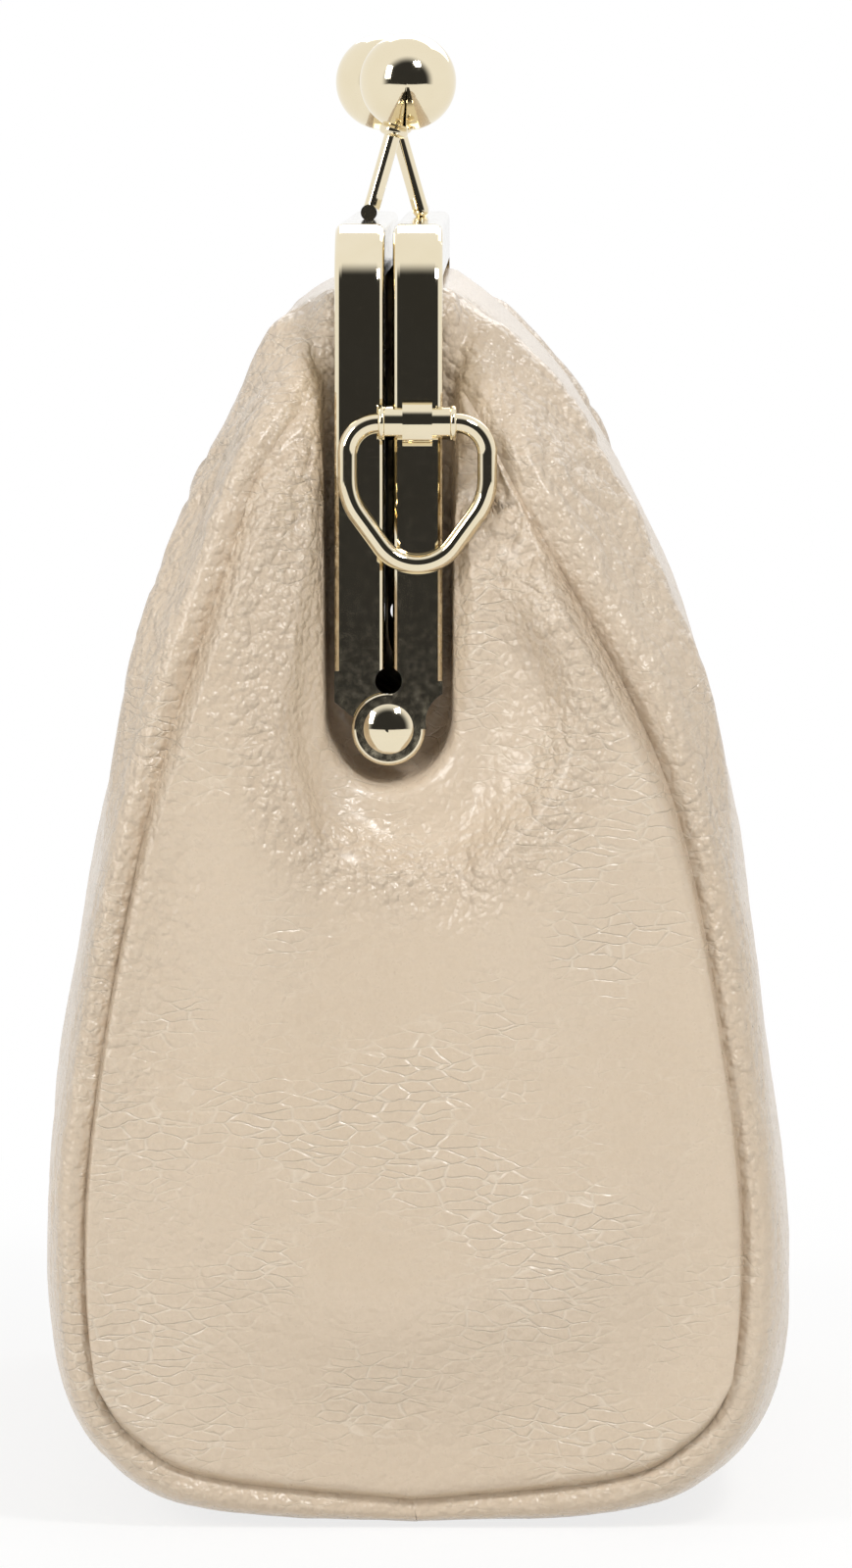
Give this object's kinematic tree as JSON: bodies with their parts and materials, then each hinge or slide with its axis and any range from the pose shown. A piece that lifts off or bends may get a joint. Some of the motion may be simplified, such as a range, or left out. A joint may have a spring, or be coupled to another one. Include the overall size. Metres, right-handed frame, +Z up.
{
  "type": "kiss lock frame purse",
  "caption": "Gusseted leather purse on a hinged channel frame, closed by crossed clasp balls, with strap rings on the frame's ends",
  "frame": {"origin": "on the surface the bag stands on, straight below the hinge line, at the middle of the frame's length", "axes": "+X along the frame towards the right end as seen from the front, +Y towards the back of the bag, +Z up"},
  "size_m": [0.2226, 0.1066, 0.2024],
  "materials": {
    "frame_metal": "polished pale gold plate on brass",
    "fitting_metal": "polished pale gold plate on brass",
    "leather": "pebbled full grain, cream, soft sheen",
    "lining": "matt woven cotton twill",
    "board": "stiff fibre board",
    "paper_cord": "twisted paper cord"
  },
  "bodies": {
    "bag": {"front_panel": "leather", "back_panel": "leather", "left_gusset": "leather", "right_gusset": "leather", "front_lining": "lining", "back_lining": "lining", "left_gusset_lining": "lining", "right_gusset_lining": "lining", "base_board": "board"},
    "front_half": {"front_frame": "frame_metal", "front_packing_cord": "paper_cord", "front_clasp_stem": "fitting_metal", "front_clasp_collar": "fitting_metal", "front_clasp_ball": "fitting_metal"},
    "rear_half": {"rear_frame": "frame_metal", "rear_packing_cord": "paper_cord", "rear_clasp_stem": "fitting_metal", "rear_clasp_collar": "fitting_metal", "rear_clasp_ball": "fitting_metal", "left_hinge_rivet": "fitting_metal", "right_hinge_rivet": "fitting_metal", "left_ring_saddle": "fitting_metal", "right_ring_saddle": "fitting_metal"},
    "left_loop": {"left_ring": "fitting_metal", "left_ring_barrel": "fitting_metal"},
    "right_loop": {"right_ring": "fitting_metal", "right_ring_barrel": "fitting_metal"}
  },
  "joints": [
    {"name": "front_frame_swing", "type": "hinge", "parent": "bag", "child": "front_half", "pos_m": [0, 0, 0.108], "axis": [1, 0, 0], "range_deg": [0, 45], "deforming": ["front_panel", "left_gusset", "right_gusset", "front_lining", "left_gusset_lining", "right_gusset_lining"]},
    {"name": "rear_frame_swing", "type": "hinge", "parent": "bag", "child": "rear_half", "pos_m": [0, 0, 0.108], "axis": [1, 0, 0], "range_deg": [-45, 0], "deforming": ["back_panel", "back_lining"]},
    {"name": "left_ring_swing", "type": "hinge", "parent": "rear_half", "child": "left_loop", "pos_m": [-0.10255, 0.00392, 0.1494], "axis": [0, 1, 0], "range_deg": [0, 170]},
    {"name": "right_ring_swing", "type": "hinge", "parent": "rear_half", "child": "right_loop", "pos_m": [0.10255, 0.00392, 0.1494], "axis": [0, -1, 0], "range_deg": [0, 170]}
  ],
  "couplings": [
    {"joint": "rear_frame_swing", "follows": "front_frame_swing", "ratio": -1}
  ]
}
